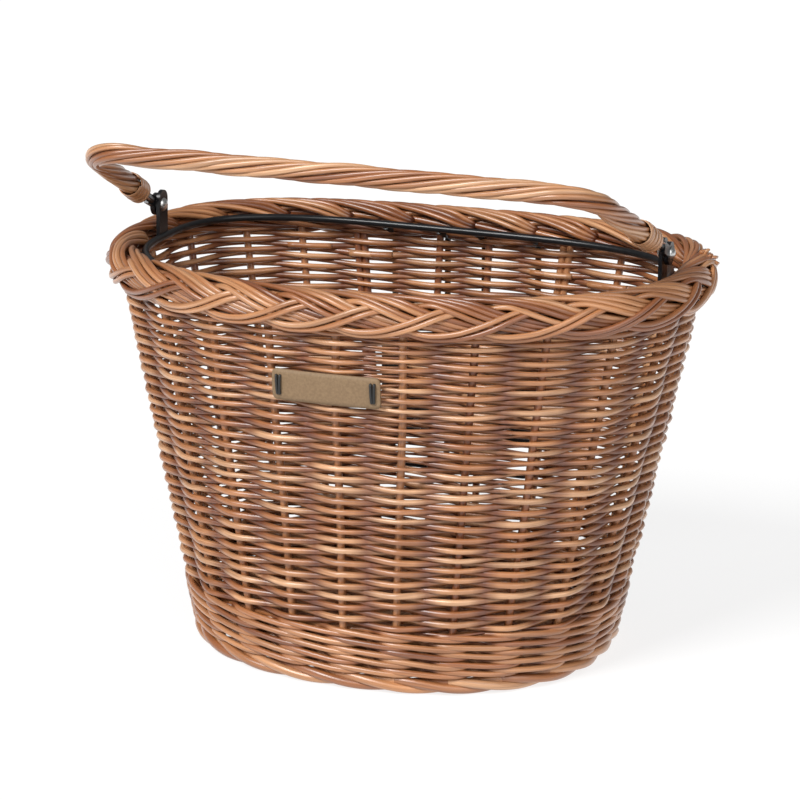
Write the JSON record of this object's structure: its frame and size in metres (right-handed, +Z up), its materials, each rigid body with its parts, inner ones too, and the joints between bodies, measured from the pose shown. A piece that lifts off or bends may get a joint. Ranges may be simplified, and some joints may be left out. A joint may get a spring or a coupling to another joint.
{
  "type": "bicycle handlebar basket",
  "caption": "Tapered woven willow bicycle basket, D-shaped in plan, with a plaited rim, steel hoop, back mounting plate and a twisted willow handle that folds.",
  "frame": {"origin": "on the surface the basket stands on, under the middle of the rim", "axes": "+Z up through the mouth, -Y out of the curved front with the label, +Y out of the flat back with the mounting plate, +X to the right seen from the front"},
  "size_m": [0.4018, 0.27, 0.3446],
  "materials": {
    "willow_weave": "varnished buff willow rods, semi-gloss",
    "willow_border": "varnished buff willow rods, semi-gloss",
    "willow_stake": "varnished willow stakes, semi-gloss",
    "willow_skein": "flat split willow, satin",
    "black_steel": "black paint, semi-gloss",
    "rivet_steel": "zinc-plated, satin",
    "black_plastic": "fine-grained matt",
    "label_leather": "undyed vegetable-tanned, matt",
    "tie_cord": "waxed black cord"
  },
  "bodies": {
    "basket": {"base_sticks": "willow_stake", "base_weave": "willow_weave", "foot_border": "willow_border", "bottom_wale": "willow_weave", "side_stakes": "willow_stake", "side_weave": "willow_weave", "rim_border": "willow_border", "steel_hoop": "black_steel", "left_bracket": "black_steel", "right_bracket": "black_steel", "left_rivet": "rivet_steel", "right_rivet": "rivet_steel", "left_washer": "rivet_steel", "right_washer": "rivet_steel", "back_frame_outer": "black_steel", "back_frame_inner": "black_steel", "mounting_plate": "black_plastic", "clamp_plate": "black_plastic", "clamp_screws": "rivet_steel", "clamp_nuts": "rivet_steel", "label": "label_leather", "label_ties": "tie_cord"},
    "handle": {"handle_core": "black_steel", "handle_rods": "willow_border", "left_binding": "willow_skein", "right_binding": "willow_skein"}
  },
  "joints": [
    {"name": "handle_fold", "type": "hinge", "parent": "basket", "child": "handle", "pos_m": [-0.003, 0.0125, 0.2741], "axis": [0.9999, 0, -0.0157], "range_deg": [-152, 22]}
  ]
}
